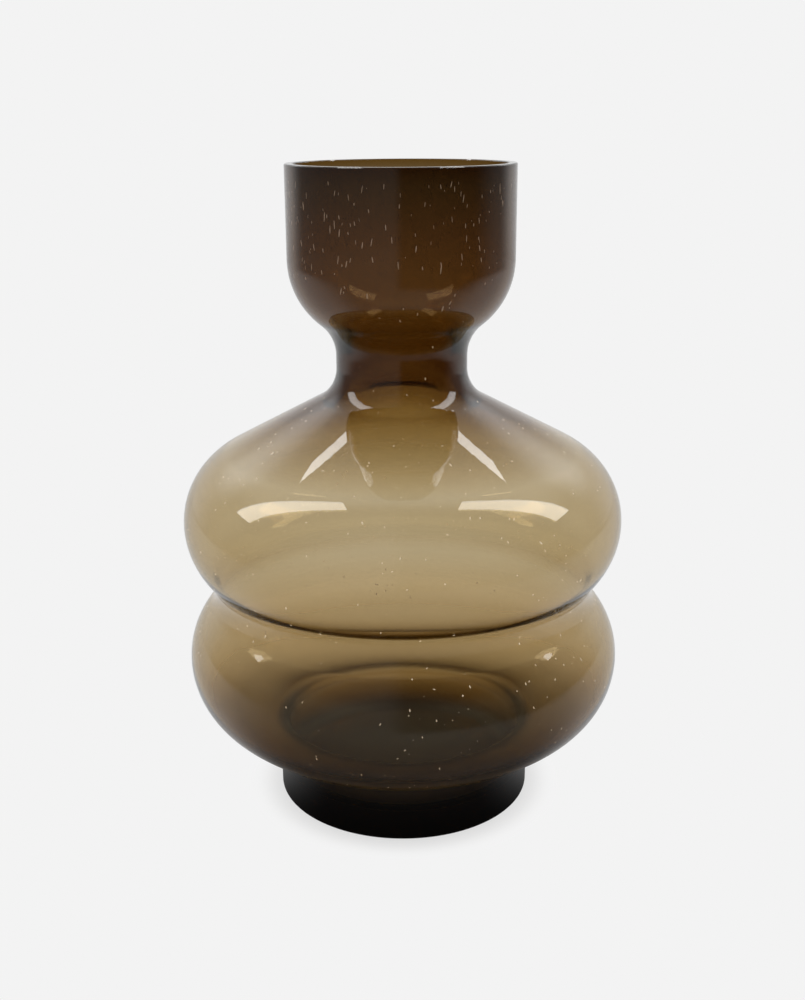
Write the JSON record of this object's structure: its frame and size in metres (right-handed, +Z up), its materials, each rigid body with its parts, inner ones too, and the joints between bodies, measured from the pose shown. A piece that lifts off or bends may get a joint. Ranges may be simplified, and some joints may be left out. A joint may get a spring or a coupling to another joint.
{
  "type": "gourd vase",
  "caption": "Blown glass flower vase of smoke brown: a straight-sided cup mouth on a tight neck, stacked round bulbs with a pinched waist, and a dark drum foot.",
  "frame": {"origin": "on the table, under the vase's axis, at the level of the foot's standing ring", "axes": "+Z up along the vase's axis of turning; +X and +Y are equal, as the vase is round"},
  "size_m": [0.24, 0.24, 0.35],
  "materials": {
    "smoke_glass": "fire-polished clear smoke-brown glass with small air seeds",
    "dark_foot_glass": "thick smoke-brown glass that looks nearly black, ground flat underneath"
  },
  "bodies": {
    "root": {"blown_body": "smoke_glass", "foot": "dark_foot_glass"}
  },
  "joints": []
}
